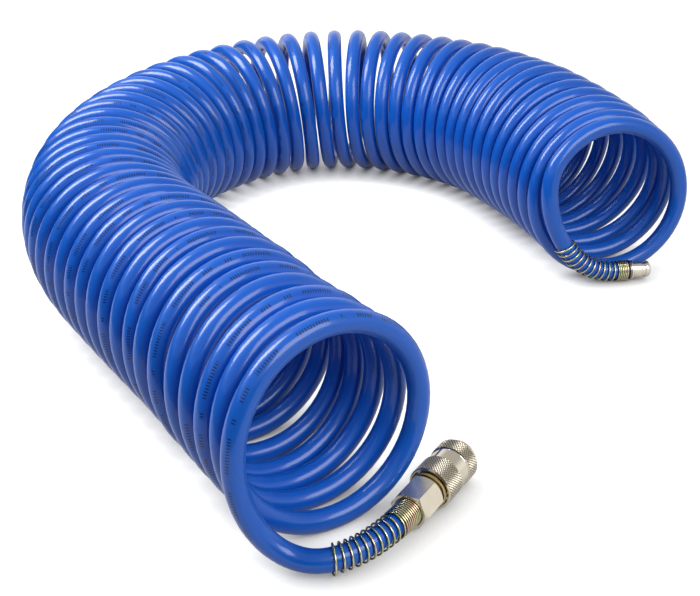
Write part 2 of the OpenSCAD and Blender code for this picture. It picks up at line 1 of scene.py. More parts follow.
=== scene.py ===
# %% [markdown]
# # A coiled air hose
# A recoil hose is a long polyethylene tube, wound hot round a mandrel so that it springs back after use.
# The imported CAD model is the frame: it gives every piece its place and its body. This lesson dresses it.
# It makes the round hose, the wound guards, the knurled sleeve and the return springs as new meshes, and
# gives every turned piece its finish.

# %% Load the frame
import math

import bpy
from mathutils import Matrix, Vector


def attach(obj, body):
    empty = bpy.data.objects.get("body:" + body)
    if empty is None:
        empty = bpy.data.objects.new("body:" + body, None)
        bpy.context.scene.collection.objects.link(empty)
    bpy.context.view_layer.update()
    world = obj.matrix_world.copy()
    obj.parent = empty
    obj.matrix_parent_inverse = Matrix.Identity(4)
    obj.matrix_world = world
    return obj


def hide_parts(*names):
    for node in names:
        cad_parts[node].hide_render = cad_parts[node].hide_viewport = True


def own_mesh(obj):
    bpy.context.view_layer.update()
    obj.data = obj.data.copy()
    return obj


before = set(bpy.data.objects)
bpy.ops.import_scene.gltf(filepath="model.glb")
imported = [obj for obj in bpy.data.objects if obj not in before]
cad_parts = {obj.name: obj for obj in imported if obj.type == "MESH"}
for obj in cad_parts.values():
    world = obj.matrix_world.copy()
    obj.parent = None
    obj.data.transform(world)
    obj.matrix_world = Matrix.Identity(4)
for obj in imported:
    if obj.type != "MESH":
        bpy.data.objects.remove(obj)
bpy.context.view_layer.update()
MM = 0.001
ROOT = "hose_and_bodies"
UP = Vector((0, 0, 1))

# %% [markdown]
# ## The camera
# A product shot of a floor piece looks down on it at a slant. The camera is placed by its position, its
# heading and the angle that it looks down, which is easier to reason about than three rotations.
# A lens of about 55 mm keeps the near loop from bulging.

# %% Place the camera
CAMERA_PLACE = Vector((-10.6, -699.3, 359.9)) * MM
CAMERA_HEADING = math.radians(89.73)
CAMERA_DOWN = math.radians(27.95)
CAMERA_LENS = 55.5
CAMERA_NEAREST = 0.01


def add_object(name, data):
    made = bpy.data.objects.new(name, data)
    bpy.context.scene.collection.objects.link(made)
    return made


def place_camera():
    looks = Vector((math.cos(CAMERA_HEADING) * math.cos(CAMERA_DOWN),
                    math.sin(CAMERA_HEADING) * math.cos(CAMERA_DOWN), -math.sin(CAMERA_DOWN)))
    right = looks.cross(UP).normalized()
    turned = Matrix((right, right.cross(looks), -looks)).transposed()
    camera = add_object("camera", bpy.data.cameras.new("camera"))
    camera.data.lens = CAMERA_LENS
    camera.data.clip_start = CAMERA_NEAREST
    camera.matrix_world = Matrix.Translation(CAMERA_PLACE) @ turned.to_4x4()
    bpy.context.scene.camera = camera


place_camera()
print("camera lens:", CAMERA_LENS)

# %% [markdown]
# ## The coil's centre line
# The coil lies in a bend. Its axis is a chain of arcs, one to each stretch of turns, with a pitch and a
# bend of its own, and the turns lean as a row of loose rings does. A turn is a circle round that axis,
# so one loop over the turns gives the whole line. The numbers repeat the model's own route.

# %% Describe the coil, in millimetres and degrees
HOSE_R = 6.0
COIL_R = 54.0
LYING_HEIGHT = 4.8
STRETCH_TURNS = [1, 1, 2, 1, 1, 1, 7, 6, 6, 6, 6, 8, 2, 4, 1, 1, 1, 1]
STRETCH_PITCH = [16.5, 17, 17, 18, 20, 15.5, 15.5, 16, 20, 20.5, 19, 18, 15.5, 16.5, 17.5, 16, 19, 16]
STRETCH_BEND = [-4, 1, 2, 2, -1, -3, 1, 25, 30, 32, 51, 47, 2, 9, 1, 2, 3, 0]
TURN_LEAN = [6, 11, 5, 12, 10, 6, 9, -1, -5, -8, -6, -2, -1, -2, 5, 0, -2, -11, -7]
TURN_SWING = [-2, -2, 0, 4, 2, 1, 0, -7, -1, -1, -13, 0, 4, 2, -2, -3, -1, 1, 2]
TURN_GROWTH = [0.5, -0.5, -0.5, -1, -1, -1, -1, -0.5, -0.5, 0, 0.5, 1.5, 2.5, 3, 1.5, 1, 0, 0, 0.5]
COIL_HEADING = 122
COIL_START = (-14.5, -269.3)
LAST_TURN = sum(STRETCH_TURNS)
print("turns:", LAST_TURN)


# %% Chain the arcs of the axis
STRAIGHT = 1e-5


def level(heading):
    return Vector((math.cos(math.radians(heading)), math.sin(math.radians(heading)), 0))


def left_of(heading):
    return level(heading + 90)


def first_turn(stretch):
    return sum(STRETCH_TURNS[:stretch])


def along(start, stretch, distance):
    """The place and heading at a distance along a stretch's arc, from the place and heading at its start."""
    x, y, heading = start
    turned = -STRETCH_BEND[stretch] * distance / (STRETCH_TURNS[stretch] * STRETCH_PITCH[stretch])
    half = math.radians(turned / 2)
    chord = distance if abs(half) < STRAIGHT else distance * math.sin(half) / half
    way = level(heading + turned / 2)
    return x + chord * way.x, y + chord * way.y, heading + turned


stretch_starts = [(*COIL_START, COIL_HEADING)]
for number, turns in enumerate(STRETCH_TURNS):
    stretch_starts.append(along(stretch_starts[-1], number, turns * STRETCH_PITCH[number]))
print("axis ends at", [round(v, 1) for v in stretch_starts[-1]])


# %% Find a place on the axis
def stretch_of(turn):
    number = 0
    while number < len(STRETCH_TURNS) - 1 and turn >= first_turn(number + 1):
        number += 1
    return number


def axis_at(turn):
    number = stretch_of(turn)
    return along(stretch_starts[number], number, (turn - first_turn(number)) * STRETCH_PITCH[number])


def between_stretches(values, turn):
    """A value that is given where each stretch starts, read at any turn."""
    number = stretch_of(turn)
    share = (turn - first_turn(number)) / STRETCH_TURNS[number]
    return values[number] + share * (values[number + 1] - values[number])


def facing_at(turn):
    return axis_at(turn)[2] + between_stretches(TURN_SWING, turn)


print("heading half way:", round(axis_at(LAST_TURN / 2)[2], 1))

# %% Find a point of the coil
RUN_STEP = 0.005


def coil_out(turn):
    angle = math.tau * turn
    return math.cos(angle) * left_of(facing_at(turn)) + math.sin(angle) * UP


def coil_point(turn):
    x, y, heading = axis_at(turn)
    facing = facing_at(turn)
    lean = math.radians(between_stretches(TURN_LEAN, turn))
    radius = COIL_R + between_stretches(TURN_GROWTH, turn)
    angle = math.tau * turn
    tilted = math.cos(lean) * UP + math.sin(lean) * level(facing)
    centre = Vector((x, y, LYING_HEIGHT + radius * math.cos(lean)))
    return centre + radius * (math.cos(angle) * left_of(facing) + math.sin(angle) * tilted)


def coil_run(turn):
    return (coil_point(turn + RUN_STEP) - coil_point(turn - RUN_STEP)).normalized()


print("near loop's top:", [round(v, 1) for v in coil_point(0.25)])

# %% [markdown]
# ## The tails
# At each end the hose leaves the coil and bends level to its fitting. A stiff hose bends in one smooth
# curve, which a Bezier leg between two known directions gives: each reach is the distance from a leg's
# end to its handle, and says how far the hose keeps its way before it turns.

# %% Place the fittings
NEAR_TAIL_TURN = 0.1
FAR_TAIL_TURN = 55.4
SOCKET_HEIGHT = 12.3
SOCKET_AHEAD = 21.4
SOCKET_INWARD = 28
SOCKET_TURN = 25
NEAR_TAIL_HEIGHT = 8.4
TAIL_AHEAD = 21
TAIL_OUTWARD = 31
TAIL_TURN = -46
PLUG_HEIGHT = 8.201
PLUG_AHEAD = 14.4
PLUG_OUTWARD = -1.6
PLUG_TURN = -4
TURNS_BACK_TO_LOW = 1.25


def beside(x, y, heading, height, ahead, outward):
    """A point at a height, some way ahead of a place and to the left of it."""
    return Vector((x, y, height)) + ahead * level(heading) + outward * left_of(heading)


near_axis = axis_at(0)
far_axis = axis_at(LAST_TURN)
near_heading = near_axis[2]
far_heading = far_axis[2]
far_low = coil_point(LAST_TURN - TURNS_BACK_TO_LOW)
socket_heading = near_heading - 90 + SOCKET_TURN
socket_dir = level(socket_heading)
tail_dir = level(near_heading - 90 + TAIL_TURN)
plug_dir = level(far_heading + 90 + PLUG_TURN)
nut_place = beside(*near_axis, SOCKET_HEIGHT, -SOCKET_AHEAD, -SOCKET_INWARD)
tail_place = beside(*near_axis, NEAR_TAIL_HEIGHT, -TAIL_AHEAD, TAIL_OUTWARD)
plug_place = beside(far_low.x, far_low.y, far_heading, PLUG_HEIGHT, PLUG_AHEAD, PLUG_OUTWARD)
print("nut at", [round(v, 1) for v in nut_place], "plug at", [round(v, 1) for v in plug_place])

# %% Bend the legs
NUT_REACH = 25
TAIL_FRONT_REACH = 17
TAIL_BACK_REACH = 27
NEAR_COIL_REACH = 41
FAR_COIL_REACH = 30
PLUG_REACH = 38
near_start = coil_point(NEAR_TAIL_TURN)
far_start = coil_point(FAR_TAIL_TURN)
near_handle = near_start - NEAR_COIL_REACH * coil_run(NEAR_TAIL_TURN)
far_handle = far_start + FAR_COIL_REACH * coil_run(FAR_TAIL_TURN)
socket_leg = [nut_place, nut_place - NUT_REACH * socket_dir,
              tail_place + TAIL_FRONT_REACH * tail_dir, tail_place]
near_leg = [tail_place, tail_place - TAIL_BACK_REACH * tail_dir, near_handle, near_start]
plug_leg = [far_start, far_handle, plug_place - PLUG_REACH * plug_dir, plug_place]


def leg_point(leg, t):
    a, b, c, d = leg
    return (1 - t) ** 3 * a + 3 * (1 - t) ** 2 * t * b + 3 * (1 - t) * t * t * c + t ** 3 * d


print("middle of the socket's leg:", [round(v, 1) for v in leg_point(socket_leg, 0.5)])

# %% [markdown]
# ## One line for the whole hose
# The hose is drawn from the socket's nut through the coil to the plug. Each station holds a point and
# the way out of the coil there, so that marks printed on the hose stay on one side of it.
# Sixty stations to a turn keep the outline and the highlights round at the near loop.

# %% Join the stations
HOSE_IN_NUT = 12.2
HOSE_TO_FLANGE = 13.2
TURN_STEPS = 60
LEG_STEPS = 28
END_STEPS = 4
DOWNWARD = -90
socket_end = nut_place + HOSE_IN_NUT * socket_dir
plug_end = plug_place + HOSE_TO_FLANGE * plug_dir


def shares(count):
    """Even steps from 0 towards 1, without the 1."""
    return [step / count for step in range(count)]


def tail_out(heading, angle):
    return math.cos(math.radians(angle)) * left_of(heading) + math.sin(math.radians(angle)) * UP


def hose_stations():
    near_angle = 360 * NEAR_TAIL_TURN
    far_angle = 360 * (FAR_TAIL_TURN % 1)
    coil_steps = round((FAR_TAIL_TURN - NEAR_TAIL_TURN) * TURN_STEPS)
    coil_turns = [NEAR_TAIL_TURN + step / TURN_STEPS for step in range(coil_steps)]
    stations = [(socket_end + (nut_place - socket_end) * t, -UP) for t in shares(END_STEPS)]
    stations += [(leg_point(socket_leg, t), -UP) for t in shares(LEG_STEPS)]
    stations += [(leg_point(near_leg, t), tail_out(near_heading, DOWNWARD + t * (near_angle - DOWNWARD)))
                 for t in shares(LEG_STEPS)]
    stations += [(coil_point(turn), coil_out(turn)) for turn in coil_turns]
    stations += [(leg_point(plug_leg, t), tail_out(far_heading, far_angle + t * (360 + DOWNWARD - far_angle)))
                 for t in shares(LEG_STEPS)]
    stations += [(plug_place + (plug_end - plug_place) * t, -UP) for t in shares(END_STEPS) + [1]]
    return stations


stations = hose_stations()
hose_line = [point for point, out in stations]
hose_outs = [out for point, out in stations]
print("stations:", len(stations))


# %% Measure along the line
def lengths_along(points):
    """How far along the line each of its points lies."""
    lengths = [0.0]
    for before, after in zip(points, points[1:]):
        lengths.append(lengths[-1] + (after - before).length)
    return lengths


hose_marks = lengths_along(hose_line)
print("hose length in metres:", round(hose_marks[-1] * MM, 3))

# %% [markdown]
# ## Sweeping a tube
# The hose, both guards and the springs are tubes along a line. A curve object with a bevel could do it, but
# a mesh made ring by ring keeps the printed marks' side under control and can rest flat on the floor. The
# map on it runs in metres along the tube and once round it.

# %% Map a tube
def run_at(points, number):
    """The way that a line runs at one of its points."""
    before = points[max(number - 1, 0)]
    after = points[min(number + 1, len(points) - 1)]
    return (after - before).normalized()


def map_tube(mesh, points, sides):
    """A map that runs in metres along the tube and from 0 to 1 round it."""
    marks = lengths_along(points)
    layer = mesh.uv_layers.new(name="along_and_round")
    for polygon in mesh.polygons:
        rounds = [mesh.loops[i].vertex_index % sides for i in polygon.loop_indices]
        wraps = len(rounds) == 4 and 0 in rounds and sides - 1 in rounds
        for i, k in zip(polygon.loop_indices, rounds):
            ring = mesh.loops[i].vertex_index // sides
            layer.data[i].uv = (marks[ring] * MM, (sides if wraps and k == 0 else k) / sides)


print("hose sets out along", [round(v, 2) for v in run_at(hose_line, 0)])


# %% Sweep a round section along a line
def tube_points(points, outs, radius, sides):
    """The tube's corners in metres, ring by ring. The first of a ring lies at the line's way out."""
    corners = []
    for number, point in enumerate(points):
        run = run_at(points, number)
        out = (outs[number] - outs[number].dot(run) * run).normalized()
        side = run.cross(out)
        for k in range(sides):
            angle = math.tau * k / sides
            at = point + radius * (math.cos(angle) * out + math.sin(angle) * side)
            corners.append((at.x * MM, at.y * MM, max(at.z, 0) * MM))
    return corners


def add_mesh(name, corners, faces):
    mesh = bpy.data.meshes.new(name)
    mesh.from_pydata(corners, [], faces)
    return add_object(name, mesh)


def swept_tube(name, points, outs, radius, sides):
    """A closed tube along a line of points in millimetres."""
    last = (len(points) - 1) * sides
    faces = []
    for ring in range(0, last, sides):
        for k in range(sides):
            a, b = ring + k, ring + (k + 1) % sides
            faces.append((a, b, b + sides, a + sides))
    faces += [tuple(reversed(range(sides))), tuple(range(last, last + sides))]
    piece = add_mesh(name, tube_points(points, outs, radius, sides), faces)
    map_tube(piece.data, points, sides)
    piece.data.polygons.foreach_set("use_smooth", [True] * len(faces))
    return piece


HOSE_SIDES = 20
hose = swept_tube("hose", hose_line, hose_outs, HOSE_R, HOSE_SIDES)
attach(hose, ROOT)
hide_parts("air_hose")
print("hose faces:", len(hose.data.polygons))

# %% [markdown]
# ## The spring guards
# A wire guard stops the hose from kinking where it leaves a fitting. The wire is wound tight at the
# fitting and opens out along the hose. It follows the hose's own line, so a helper reads that line at any
# distance, and the wire's turns are counted from the fitting outwards.

# %% Read the hose's line at a distance
def from_socket(distance):
    """The hose's centre and the way that it runs, at a distance from its end in the socket."""
    low, high = 0, len(hose_marks) - 1
    while high - low > 1:
        middle = (low + high) // 2
        if hose_marks[middle] <= distance:
            low = middle
        else:
            high = middle
    share = (distance - hose_marks[low]) / (hose_marks[high] - hose_marks[low])
    point = hose_line[low].lerp(hose_line[high], share)
    return point, run_at(hose_line, low).lerp(run_at(hose_line, high), share).normalized()


def from_plug(distance):
    point, run = from_socket(hose_marks[-1] - distance)
    return point, -run


print("hose at 50 mm from the socket:", [round(v, 1) for v in from_socket(50)[0]])

# %% Wind the guards
WIRE_R = 0.56
GUARD_R = HOSE_R + 1.05
CLOSE_PITCH = 1.32
FLARED_TURNS = 1.25
WIRE_STEPS = 28
WIRE_SIDES = 10


def mark_points(piece, name, values):
    """Give each point of a mesh a value that its finish can read."""
    piece.data.attributes.new(name, "FLOAT", "POINT").data.foreach_set("value", values)


def guard(name, node, line, start, close_length, open_turns, open_pitch, flare, least_unshaded):
    close_turns = close_length / CLOSE_PITCH
    total = close_turns + open_turns
    points, outs = [], []
    for step in range(math.ceil(total * WIRE_STEPS) + 1):
        turn = min(step / WIRE_STEPS, total)
        distance = start + min(turn, close_turns) * CLOSE_PITCH + max(turn - close_turns, 0) * open_pitch
        centre, run = line(distance)
        low = (-UP + UP.dot(run) * run).normalized()
        flared = max(0.0, turn - (total - FLARED_TURNS)) / FLARED_TURNS
        radius = GUARD_R + flare * flared * flared
        angle = math.tau * (total - turn)
        points.append(centre + radius * (math.cos(angle) * low + math.sin(angle) * run.cross(low)))
        outs.append(points[-1] - centre)
    piece = swept_tube(name, points, outs, WIRE_R, WIRE_SIDES)
    # Painted shade: each point is marked 1 on the wire's outer side and lower towards its sides, which the
    # finish darkens.
    unshaded = [max(least_unshaded, math.cos(math.tau * k / WIRE_SIDES)) for k in range(WIRE_SIDES)]
    mark_points(piece, "unshaded", unshaded * len(points))
    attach(piece, ROOT)
    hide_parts(node)
    print(name, "turns:", round(total, 1))
    return piece


socket_guard = guard("socket_guard_wire", "socket_spring_guard", from_socket, start=9.6, close_length=14.4,
                     open_turns=10.5, open_pitch=3.7, flare=0.7, least_unshaded=0.0)
plug_guard = guard("plug_guard_wire", "plug_spring_guard", from_plug, start=1.7, close_length=8.1,
                   open_turns=11, open_pitch=4.4, flare=0.4, least_unshaded=0.35)

# %% [markdown]
# ## The knurled sleeve
# Fingers pull the sleeve back to let the plug go, so its two bands are knurled: a tool rolls rows of small
# diamonds into the metal. Each diamond is a low pyramid. A ring of grid cells whose corners are peaks
# and valleys in turn, split along the valleys, gives all of them at once, as real shape.

# %% Draw the sleeve's outline, in millimetres from the nut
SLEEVE_START = 21.8
SLEEVE_END = 52.8
SLEEVE_R = 12.25
BEVEL = 0.8
BEVEL_MIDDLE_ALONG = 0.35
BEVEL_MIDDLE_IN = 0.3
WAIST_START = 34.8
WAIST_END = 44.3
WAIST_R = 11.35
WAIST_SLOPE = 0.3
LIP_IN = 0.25
BAND_MARGIN = 0.2
CHAMBER_R = 10.75
SLEEVE_LAND = 40.8
RAMP_START = 49.2
RAMP_START_R = 8.66
RAMP_END = 52.4
RAMP_END_R = 9.46
DIAMONDS = 44
KNURL_DEPTH = 0.42


def band_rows(start, end):
    """Rows of peaks and valleys between two places, half a diamond apart, with their numbers."""
    half = math.pi * SLEEVE_R / DIAMONDS
    count = max(2, 2 * round((end - start) / half / 2))
    return [(start + (end - start) * i / count, SLEEVE_R, i) for i in range(count + 1)]


def plain_rows(places):
    return [(distance, radius, None) for distance, radius in places]


def sleeve_rows():
    """The outline from the rear face over the outside and back through the inside."""
    rear = [(SLEEVE_START, CHAMBER_R), (SLEEVE_START, SLEEVE_R - BEVEL),
            (SLEEVE_START + BEVEL_MIDDLE_ALONG, SLEEVE_R - BEVEL_MIDDLE_IN)]
    waist = [(WAIST_START, SLEEVE_R - LIP_IN), (WAIST_START + WAIST_SLOPE, WAIST_R),
             (WAIST_END - WAIST_SLOPE, WAIST_R), (WAIST_END, SLEEVE_R - LIP_IN)]
    front = [(SLEEVE_END - BEVEL_MIDDLE_ALONG, SLEEVE_R - BEVEL_MIDDLE_IN), (SLEEVE_END, SLEEVE_R - BEVEL)]
    inside = [(SLEEVE_END, RAMP_END_R), (RAMP_END, RAMP_END_R), (RAMP_START, RAMP_START_R),
              (SLEEVE_LAND, RAMP_START_R), (SLEEVE_LAND, CHAMBER_R)]
    rear_band = band_rows(SLEEVE_START + BEVEL, WAIST_START - BAND_MARGIN)
    front_band = band_rows(WAIST_END + BAND_MARGIN, SLEEVE_END - BEVEL)
    return plain_rows(rear) + rear_band + plain_rows(waist) + front_band + plain_rows(front + inside)


print("rows of the sleeve:", len(sleeve_rows()))

# %% Knurl the sleeve
COLUMNS = 2 * DIAMONDS


def socket_point(distance, radius, angle):
    """A point at a distance along the socket's axis, a radius and an angle round it."""
    side = left_of(socket_heading)
    return nut_place + distance * socket_dir + radius * (math.cos(angle) * -UP + math.sin(angle) * side)


def is_valley(row, column):
    """Whether a corner lies low. In a band every other one does, and outside the bands none."""
    return row is not None and (row + column) % 2 == 1


def knurled_point(distance, radius, row, column):
    depth = KNURL_DEPTH if is_valley(row, column) else 0
    return tuple(socket_point(distance, radius - depth, math.tau * column / COLUMNS) * MM)


def sleeve_faces(rows):
    """The faces between the rows, and whether each is part of a diamond."""
    faces, knurled = [], []
    for i, (distance, radius, row) in enumerate(rows):
        j = (i + 1) % len(rows)
        in_band = row is not None and rows[j][2] is not None
        for k in range(COLUMNS):
            a, b = i * COLUMNS + k, i * COLUMNS + (k + 1) % COLUMNS
            c, d = j * COLUMNS + (k + 1) % COLUMNS, j * COLUMNS + k
            if not in_band:
                faces.append((a, b, c, d))
            elif is_valley(row, k):
                faces += [(a, b, c), (a, c, d)]
            else:
                faces += [(a, b, d), (b, c, d)]
            knurled += [in_band] * (len(faces) - len(knurled))
    return faces, knurled


print("diamonds round the sleeve:", DIAMONDS)

# %% Make the sleeve
SHARP_ANGLE = math.radians(28)


def make_sleeve():
    rows = sleeve_rows()
    grid = [(*row, column) for row in rows for column in range(COLUMNS)]
    faces, knurled = sleeve_faces(rows)
    piece = add_mesh("knurled_grip", [knurled_point(*corner) for corner in grid], faces)
    piece.data.polygons.foreach_set("use_smooth", [not flag for flag in knurled])
    piece.data.set_sharp_from_angle(angle=SHARP_ANGLE)
    # Painted shade: the knurl's valleys are marked 0, which the finish darkens.
    mark_points(piece, "unshaded", [0.0 if is_valley(row, column) else 1.0 for _, _, row, column in grid])
    mark_points(piece, "polished", [1.0 if row is None else 0.0 for _, _, row, column in grid])
    return piece


grip = make_sleeve()
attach(grip, "sleeve")
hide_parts("knurled_sleeve")
print("sleeve faces:", len(grip.data.polygons))

# %% [markdown]
# ## The return springs
# Two springs inside the socket push the sleeve forward and the valve shut. Each is a wire wound round the
# socket's axis between its seat and the piece that it pushes.

# %% Wind the return springs
SPRING_STEPS = 24
SPRING_SIDES = 8
SEAT_PLAY = 0.05
SLEEVE_SPRING_SEAT = 27.0
VALVE_SPRING_SEAT = 30.4
VALVE_REAR = 38.9


def return_spring(name, node, start, end, radius, wire_r, turns):
    count = turns * SPRING_STEPS
    first = start + wire_r + SEAT_PLAY
    run = end - start - 2 * (wire_r + SEAT_PLAY)
    points, outs = [], []
    for step in range(count + 1):
        distance = first + run * step / count
        points.append(socket_point(distance, radius, math.tau * step / SPRING_STEPS))
        outs.append(points[-1] - socket_point(distance, 0, 0))
    piece = swept_tube(name, points, outs, wire_r, SPRING_SIDES)
    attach(piece, ROOT)
    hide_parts(node)
    tuple(socket_point(start, 0, 0) * MM)
    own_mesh(piece)
    return piece


return_springs = [
    return_spring("sleeve_return_spring", "sleeve_spring", start=SLEEVE_SPRING_SEAT, end=SLEEVE_LAND,
                  radius=9.775, wire_r=0.45, turns=4),
    return_spring("valve_return_spring", "valve_spring", start=VALVE_SPRING_SEAT, end=VALVE_REAR,
                  radius=4.85, wire_r=0.4, turns=3),
]
print("return springs:", [piece.name for piece in return_springs])

# %% [markdown]
# ## The hose's ends in metres
# The point where the hose leaves the socket's nut, and the hose's line, are worked out in metres.

hose_exit = tuple(socket_end * MM)
[tuple(point * MM) for point in hose_line]

# %% [markdown]
# ## Shader arithmetic
# A finish is worked out from a few patterns. Wrapping a node's output in a small class lets the finishes
# be written as plain sums, and each sum adds its own Math node. Every other node comes from one method,
# which takes its type, its settings, its inputs and the output that is wanted.

# %% Wrap a node's output
class Wire:
    """An output that Python's operators work on."""

    def __init__(self, tree, socket=None):
        self.tree = tree
        self.socket = socket

    def node(self, kind, settings=None, inputs=None, output=0):
        made = self.tree.nodes.new(kind)
        for name, value in (settings or {}).items():
            if name == "stops":
                set_stops(made.color_ramp, value)
            else:
                setattr(made, name, value)
        for name, value in (inputs or {}).items():
            if isinstance(value, Wire):
                self.tree.links.new(value.socket, made.inputs[name])
            else:
                made.inputs[name].default_value = value
        return Wire(self.tree, made.outputs[output])

    def math(self, operation, a, b=0.0):
        return self.node("ShaderNodeMath", {"operation": operation}, {0: a, 1: b})

    def __add__(self, other):
        return self.math("ADD", self, other)

    def __mul__(self, other):
        return self.math("MULTIPLY", self, other)

    def __sub__(self, other):
        return self.math("SUBTRACT", self, other)

    def __rsub__(self, other):
        return self.math("SUBTRACT", other, self)

    def __lt__(self, other):
        return self.math("LESS_THAN", self, other)

    __radd__ = __add__
    __rmul__ = __mul__

    def __abs__(self):
        return self.math("ABSOLUTE", self)

    def wrapped(self):
        """What is left above the last whole number."""
        return self.math("FRACT", self)

    def limited(self):
        """This value, kept from 0 to 1."""
        return self.math("MAXIMUM", self.math("MINIMUM", self, 1.0), 0.0)

    def mixed(self, low, high):
        """The colour low where this is 0 and the colour high where it is 1."""
        return self.node("ShaderNodeMix", {"data_type": "RGBA"}, {0: self, 6: low, 7: high}, 2)

    def beside(self, output):
        """Another output of the node that this one comes from."""
        return Wire(self.tree, self.socket.node.outputs[output])


def set_stops(ramp, stops):
    for number, (place, colour) in enumerate(stops):
        stop = ramp.elements[number] if number < 2 else ramp.elements.new(place)
        stop.position = place
        stop.color = colour


print("shader arithmetic is ready")


# %% Start a material
def new_material(name, **constants):
    """A material, the start of its expressions, and its main shader with constants set."""
    material = bpy.data.materials.new(name)
    material.use_nodes = True
    tree = material.node_tree
    shader = tree.nodes["Principled BSDF"]
    for socket, value in constants.items():
        shader.inputs[socket.replace("_", " ")].default_value = value
    return material, Wire(tree), shader


def feed(wire, shader, socket):
    wire.tree.links.new(wire.socket, shader.inputs[socket])


def rgb(red, green, blue):
    return red, green, blue, 1.0


def noise(place, scale, detail):
    return place.node("ShaderNodeTexNoise", None, {"Vector": place, "Scale": scale, "Detail": detail})


def on_piece(start):
    """The place on a piece, in metres."""
    return start.node("ShaderNodeTexCoord", output="Object")


def marked(start, name):
    """The value that mark_points gave."""
    return start.node("ShaderNodeAttribute", {"attribute_name": name}, output="Fac")


print("materials can be made")

# %% [markdown]
# ## Polyethylene
# The hose is dyed blue through and through and comes smooth and glossy out of the die, with faint streaks
# along it. Two lengthwise noises give the streaks in colour and gloss. A soft gloss under a thin, sharper
# coat gives both the glow and the bright line of such plastic. Rows of plain length marks are printed on
# the outside of the turns, where such a hose has its print: ticks, in groups, in stretches.

# %% Print the marks
PRINT_PLACE = 0.1
PRINT_HALF_WIDTH = 0.027
TICKS_A_METRE = 700.0
LONG_GROUPS_A_METRE = 29.0
LONG_GROUP_SHARE = 0.8
SHORT_GROUPS_A_METRE = 43.0
SHORT_GROUP_SHARE = 0.75
STRETCHES_A_METRE = 1.3


def printed(along_hose, round_hose):
    """1 on a printed mark and 0 beside it."""
    band = abs(round_hose - PRINT_PLACE) < PRINT_HALF_WIDTH
    ticks = (along_hose * TICKS_A_METRE).wrapped() < 0.5
    short_groups = (along_hose * SHORT_GROUPS_A_METRE).wrapped() < SHORT_GROUP_SHARE
    long_groups = (along_hose * LONG_GROUPS_A_METRE).wrapped() < LONG_GROUP_SHARE
    stretches = (along_hose * STRETCHES_A_METRE).wrapped() < 0.5
    return band * ticks * (short_groups * long_groups) * stretches


print("ticks to a metre:", TICKS_A_METRE)

# %% Finish the hose
DEEP_BLUE = rgb(0.003, 0.092, 0.5)
CLEAR_BLUE = rgb(0.005, 0.128, 0.64)
PRINT_COLOUR = rgb(0.004, 0.008, 0.04)
PRINT_STRENGTH = 0.8


def hose_finish():
    material, start, shader = new_material("blue_polyethylene", Specular_IOR_Level=0.3,
                                           Coat_Weight=0.5, Coat_Roughness=0.1)
    place = start.node("ShaderNodeUVMap", {"uv_map": "along_and_round"})
    along_hose = place.node("ShaderNodeSeparateXYZ", None, {0: place}, output="X")
    stretched = place.node("ShaderNodeMapping", None, {"Vector": place, "Scale": (6.0, 26.0, 1.0)})
    streaks = noise(stretched, 1.0, 3.0)
    cloudy = noise(place, 9.0, 2.0)
    blue = (streaks * 0.6 + cloudy * 0.4).mixed(DEEP_BLUE, CLEAR_BLUE)
    mark = printed(along_hose, along_hose.beside("Y")) * PRINT_STRENGTH
    bump = start.node("ShaderNodeBump", None, {"Strength": 0.012, "Distance": 0.0004, "Height": streaks})
    feed(mark.mixed(blue, PRINT_COLOUR), shader, "Base Color")
    feed(0.26 + streaks * 0.14, shader, "Roughness")
    feed(bump, shader, "Normal")
    return material


hose_blue = hose_finish()
hose.data.materials.append(hose_blue)
print("hose finish:", hose_blue.name)

# %% [markdown]
# ## Plated steel and brass
# Nickel plate is a slightly warm silver with a fine turned grain. Metal has its colour in the reflection,
# so the grain goes into roughness and bump. Shade is painted into the knurl's valleys, and the bands are
# duller
# than the polished waist: the values marked on the sleeve's points say where, so no image is needed.

# %% Finish the metals
WAIST_POLISH = 0.2


def metal_finish(name, low, high, roughness, grain, grain_scale, valley_shade=None):
    material, start, shader = new_material(name, Metallic=1.0)
    place = on_piece(start)
    fine = noise(place, grain_scale, 4.0)
    colour = noise(place, 90.0, 3.0).mixed(low, high)
    # Painted shade: where the sleeve's points are marked low, in the knurl's valleys, the colour turns dark.
    if valley_shade:
        colour = marked(start, "unshaded").mixed(valley_shade, colour)
        roughness = roughness - marked(start, "polished") * WAIST_POLISH
    bump = start.node("ShaderNodeBump", None, {"Strength": grain, "Distance": 0.00004, "Height": fine})
    feed(colour, shader, "Base Color")
    feed(roughness + fine * 0.1, shader, "Roughness")
    feed(bump, shader, "Normal")
    return material


nickel = metal_finish("nickel_plate", rgb(0.72, 0.65, 0.52), rgb(0.84, 0.77, 0.64),
                      roughness=0.08, grain=0.1, grain_scale=900.0)
satin = metal_finish("satin_nickel", rgb(0.72, 0.64, 0.51), rgb(0.86, 0.78, 0.65),
                     roughness=0.2, grain=0.25, grain_scale=1400.0)
# The knurl's dark colour is painted shade for its valleys.
gripped = metal_finish("knurled_nickel", rgb(0.72, 0.65, 0.53), rgb(0.84, 0.77, 0.64),
                       roughness=0.28, grain=0.1, grain_scale=900.0, valley_shade=rgb(0.17, 0.15, 0.11))
darkened = metal_finish("darkened_steel", rgb(0.22, 0.18, 0.14), rgb(0.34, 0.29, 0.23),
                        roughness=0.28, grain=0.2, grain_scale=900.0)
bright_steel = metal_finish("bright_steel", rgb(0.52, 0.53, 0.55), rgb(0.64, 0.65, 0.66),
                            roughness=0.14, grain=0.1, grain_scale=1200.0)
brass = metal_finish("turned_brass", rgb(0.48, 0.36, 0.15), rgb(0.62, 0.48, 0.22),
                     roughness=0.2, grain=0.15, grain_scale=900.0)
grip.data.materials.append(gripped)
for piece in return_springs:
    piece.data.materials.append(bright_steel)
print("metals:", [metal.name for metal in (nickel, satin, gripped, darkened, bright_steel, brass)])
